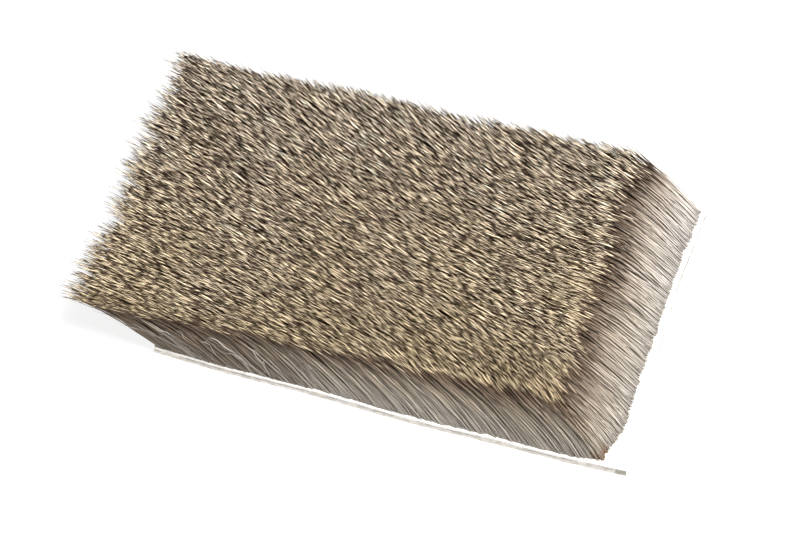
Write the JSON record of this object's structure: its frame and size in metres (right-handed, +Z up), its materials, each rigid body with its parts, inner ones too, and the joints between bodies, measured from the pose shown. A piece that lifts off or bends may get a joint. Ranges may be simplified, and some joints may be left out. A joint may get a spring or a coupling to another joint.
{
  "type": "deer hair patch",
  "caption": "Cut rectangle of tanned deer hide with its banded winter hair left on, the hair leaning over one short end; it lies flat.",
  "frame": {"origin": "middle of the hide's flat underside, on the surface that the patch lies on", "axes": "+X along the hide against the lie of the hair, so the tips hang out past the -X end; +Y across the hide; +Z up, out of the hair side"},
  "size_m": [0.0897, 0.0525, 0.0138],
  "materials": {
    "hide": "matt cream tanned skin, suede on the flesh side",
    "hair": "soft satin hair, grey shafts, dark brown below a cream band, dark tips"
  },
  "bodies": {
    "root": {"hide": "hide", "hair": "hair"}
  },
  "joints": []
}
